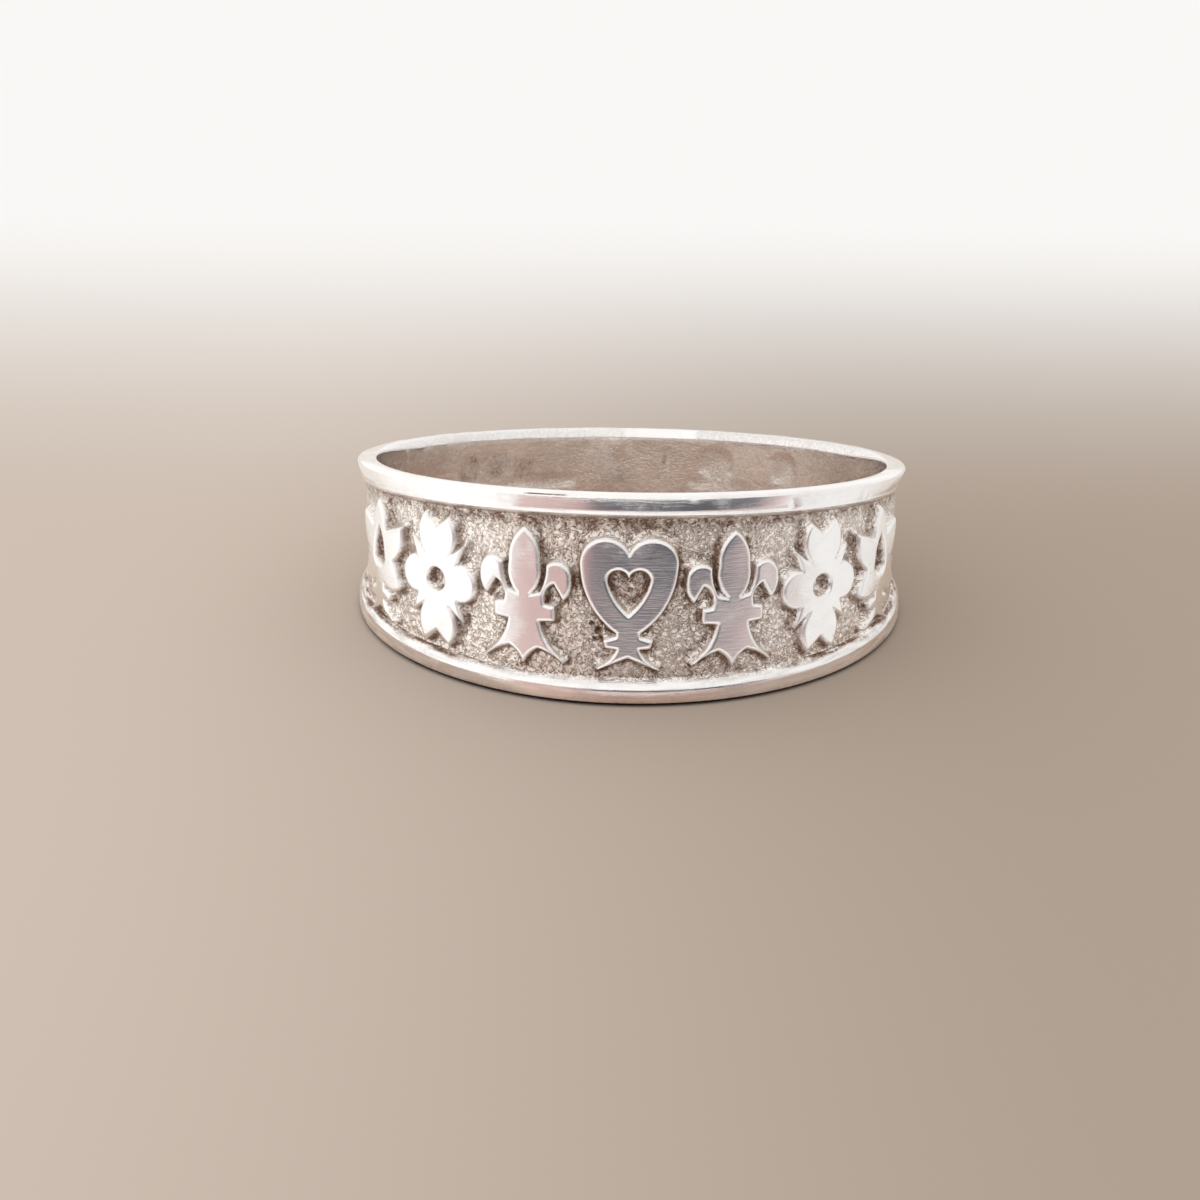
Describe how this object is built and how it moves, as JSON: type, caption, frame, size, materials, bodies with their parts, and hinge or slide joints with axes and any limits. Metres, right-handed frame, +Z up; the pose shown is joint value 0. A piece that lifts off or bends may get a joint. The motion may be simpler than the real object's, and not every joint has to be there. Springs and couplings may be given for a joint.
{
  "type": "mizpah ring",
  "caption": "Finger ring whose band widens to the front, with a rounded rim along each edge and raised ornaments on a sunk ground between them.",
  "frame": {"origin": "centre of the bottom of the ring's box as it lies on its side: on the surface, under the middle of the band", "axes": "+Z up, away from the surface that the ring lies on; -Y towards the wide, ornamented front; +X to the right as the front is looked at"},
  "size_m": [0.02, 0.0202, 0.0072],
  "materials": {
    "silver": "old polished silver, matt and darkened in the recesses"
  },
  "bodies": {
    "root": {"ring": "silver"}
  },
  "joints": []
}
